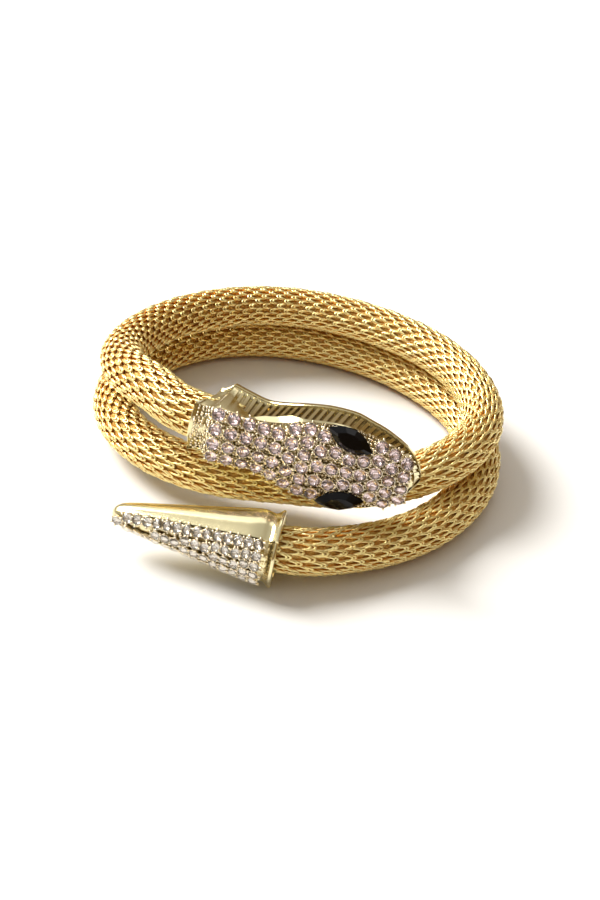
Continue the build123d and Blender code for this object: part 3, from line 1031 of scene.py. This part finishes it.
def soft_room(sizes):
    """Light from all round, paler from above and from the left. The camera itself sees plain white."""
    world = bpy.data.worlds.new("soft_room")
    world.use_nodes = True
    tree = world.node_tree
    tree.nodes.clear()
    place = add_node(tree, "ShaderNodeTexCoord")
    axes = add_node(tree, "ShaderNodeSeparateXYZ", links={"Vector": place.outputs["Generated"]})
    across, up = axes.outputs["X"], axes.outputs["Z"]
    facing = add_node(tree, "ShaderNodeMath", {1: -0.5}, {0: across, 2: up}, {"operation": "MULTIPLY_ADD"})
    shades = two_colours(tree, facing.outputs[0], 0.15, sizes.room_low, 0.85, sizes.room_high)
    light = add_node(tree, "ShaderNodeBackground", {"Strength": sizes.room_light}, {"Color": shades})
    white = add_node(tree, "ShaderNodeBackground", {"Color": linear("ffffff"), "Strength": 1.0})
    path = add_node(tree, "ShaderNodeLightPath")
    seen = add_node(
        tree,
        "ShaderNodeMixShader",
        links={0: path.outputs["Is Camera Ray"], 1: light.outputs[0], 2: white.outputs[0]},
    )
    add_node(tree, "ShaderNodeOutputWorld", links={"Surface": seen.outputs[0]})
    return world


def aimed_light(name, kind, power, place):
    """A light at a place that shines towards the bracelet's middle, and its settings."""
    data = bpy.data.lights.new(name, kind)
    data.energy = power
    light = new_object(name, data)
    light.matrix_world = Matrix.Translation(place) @ place.to_track_quat("Z", "Y").to_matrix().to_4x4()
    return data


def photo_camera(distance):
    """The camera that the photograph was fitted with: it looks along +Y, down at an angle, and rolled."""
    data = bpy.data.cameras.new("camera")
    data.lens = 50
    data.sensor_width = 36
    data.clip_start = 0.01
    camera = new_object("camera", data)
    slope, roll = radians(CAMERA_ELEVATION), radians(CAMERA_ROLL)
    back = Vector((0, -cos(slope), sin(slope)))
    right = Vector((1, 0, 0))
    side = right * cos(roll) + back.cross(right) * sin(roll)
    turned = Matrix((side, back.cross(side), back)).transposed().to_4x4()
    place = CAMERA_TARGET * MM + back * distance
    camera.matrix_world = Matrix.Translation(place) @ turned
    return camera


class BRACELET_OT_stage(bpy.types.Operator):
    """Makes the floor, the lights and the camera"""

    bl_idname = "bracelet.stage"
    bl_label = "Stage"

    def execute(self, context):
        sizes = context.scene.bracelet_stage
        floor = wide_floor()
        context.scene.world = soft_room(sizes)
        context.scene.view_settings.view_transform = "Standard"
        window = aimed_light("window", "SUN", sizes.window_light, WINDOW_SIDE)
        window.angle = radians(WINDOW_WIDTH)
        window.color = (1.0, 0.99, 0.97)
        softbox = aimed_light("softbox", "AREA", sizes.softbox_light, SOFTBOX_PLACE)
        softbox.shape = "RECTANGLE"
        softbox.size, softbox.size_y = SOFTBOX_SIZE
        context.scene.camera = photo_camera(sizes.camera_distance)
        return {"FINISHED"}


# Settings
def length_setting(name, description, millimetres):
    """A setting that is a length."""
    return FloatProperty(
        name=name, description=description, unit="LENGTH", precision=5, default=millimetres * MM, min=0.0
    )


def share_setting(name, description, default):
    """A setting that is a share of something else."""
    return FloatProperty(
        name=name, description=description, subtype="FACTOR", default=default, min=0.0, max=1.0
    )


def colour_setting(name, description, code):
    """A setting that is a colour, from its sRGB hex code."""
    return FloatVectorProperty(
        name=name, description=description, subtype="COLOR", size=4, default=linear(code)
    )


class BraceletWeave(bpy.types.PropertyGroup):
    """The wires of the woven tube"""

    wire_diameter: length_setting("Wire Diameter", "Thickness of the wire", 0.54)
    row_pitch: length_setting("Row Pitch", "From one row to the next along the tube", 1.75)
    loops_round: IntProperty(
        name="Loops Round", description="Loops of each wire round the tube", default=12, min=4
    )
    arch_height: length_setting("Arch Height", "How far the sunk end of a loop lies below its legs", 0.74)
    inner_radius: length_setting("Inner Radius", "Of the weave's inner side", 3.58)
    weave_overlap: share_setting("Overlap", "Half width of a loop as a share of the row pitch", 0.72)
    strand_gap: length_setting("Strand Gap", "Between the two wires of a row", 0.66)
    loop_bow: share_setting("Loop Bow", "Half width of a loop's end as a share of the loop", 0.13)


class BraceletCastings(bpy.types.PropertyGroup):
    """The low relief of the head's casting"""

    flute_pitch: length_setting("Flute Pitch", "From one flute to the next", 1.3)
    flute_depth: length_setting("Flute Depth", "Depth of the grooves", 0.5)
    flute_lean: length_setting("Flute Lean", "How far a flute's foot stands ahead of its top", 0.9)
    collar_hollow: share_setting("Collar Hollow", "Depth of the collar's hollow as a share of girth", 0.15)


class BraceletStones(bpy.types.PropertyGroup):
    """The round stones and the grains"""

    head_stone: length_setting("Head Stone", "Diameter of the head's round stones", 2.28)
    tail_stone: length_setting("Tail Stone", "Diameter of the tail's round stones", 1.78)
    stone_sink: length_setting("Stone Sink", "How far the stones stand below the packed ones", 0.02)
    grain_size: length_setting("Grain Size", "Diameter of the grains between the stones", 0.5)


class BraceletFinish(bpy.types.PropertyGroup):
    """The colours of the metal and the stones"""

    wire_gold: colour_setting("Wire Gold", "Plating of the wire", "ffeea8")
    # Painted shade: the wire's colour where wires lie close
    wire_shade: colour_setting("Wire Shade", "Wire where it lies close", "e0961f")
    # Painted light on the inner weave's raised parts and painted shade on its sunk parts
    inner_bright: colour_setting("Inner Bright", "Inner weave, raised", "f2d078")
    inner_shade: colour_setting("Inner Shade", "Inner weave, sunk", "d4a044")
    cast_gold: colour_setting("Cast Gold", "Plating of the castings", "ece0b4")
    # Painted shade in the castings' recesses
    cast_shade: colour_setting("Cast Shade", "Plating in recesses", "80683a")
    set_gold: colour_setting("Set Gold", "Plating round the stones", "f7ebcf")
    # Painted shade between the stones
    set_shade: colour_setting("Set Shade", "Between the stones", "a8905c")
    head_crystal: colour_setting("Head Crystal", "Tint of the head's stones", "f8e3e6")
    tail_crystal: colour_setting("Tail Crystal", "Tint of the tail's stones", "ece6dc")


class BraceletStage(bpy.types.PropertyGroup):
    """The lights and the camera"""

    window_light: FloatProperty(
        name="Window Light", description="Strength of the window's light", default=4.9, min=0.0
    )
    softbox_light: FloatProperty(
        name="Softbox Light", description="Power of the softbox", unit="POWER", default=1.1, min=0.0
    )
    room_light: FloatProperty(
        name="Room Light", description="Strength of the room's light", default=0.58, min=0.0
    )
    room_high: colour_setting("Room High", "The room's light from above", "fffcf5")
    room_low: colour_setting("Room Low", "The room's light from below", "a8864e")
    camera_distance: length_setting("Camera Distance", "From the camera to the bracelet", 237.5)


class BRACELET_PT_panel(bpy.types.Panel):
    """Lists the sizes, the colours and the steps"""

    bl_idname = "BRACELET_PT_panel"
    bl_label = "Snake Bracelet"
    bl_space_type = "VIEW_3D"
    bl_region_type = "UI"
    bl_category = "Bracelet"

    def draw(self, context):
        for name in GROUPS:
            group = getattr(context.scene, name)
            box = self.layout.box()
            for key in group.__annotations__:
                box.prop(group, key)
        for operator in OPERATORS:
            self.layout.operator(operator.bl_idname)


GROUPS = {
    "bracelet_weave": BraceletWeave,
    "bracelet_castings": BraceletCastings,
    "bracelet_stones": BraceletStones,
    "bracelet_finish": BraceletFinish,
    "bracelet_stage": BraceletStage,
}
OPERATORS = (
    BRACELET_OT_woven_tube,
    BRACELET_OT_head,
    BRACELET_OT_tail,
    BRACELET_OT_stones,
    BRACELET_OT_eyes,
    BRACELET_OT_stage,
)


def register():
    """Adds the settings, the steps and the panel."""
    for cls in (*GROUPS.values(), *OPERATORS, BRACELET_PT_panel):
        bpy.utils.register_class(cls)
    for name, cls in GROUPS.items():
        setattr(bpy.types.Scene, name, PointerProperty(type=cls))


def unregister():
    """Takes them away again."""
    for name in GROUPS:
        delattr(bpy.types.Scene, name)
    for cls in (BRACELET_PT_panel, *reversed(OPERATORS), *reversed(list(GROUPS.values()))):
        bpy.utils.unregister_class(cls)


def main():
    """Makes every piece and the stage."""
    register()
    bpy.ops.bracelet.woven_tube()
    bpy.ops.bracelet.head()
    bpy.ops.bracelet.tail()
    bpy.ops.bracelet.stones()
    bpy.ops.bracelet.eyes()
    bpy.ops.bracelet.stage()


if __name__ == "__main__":
    main()
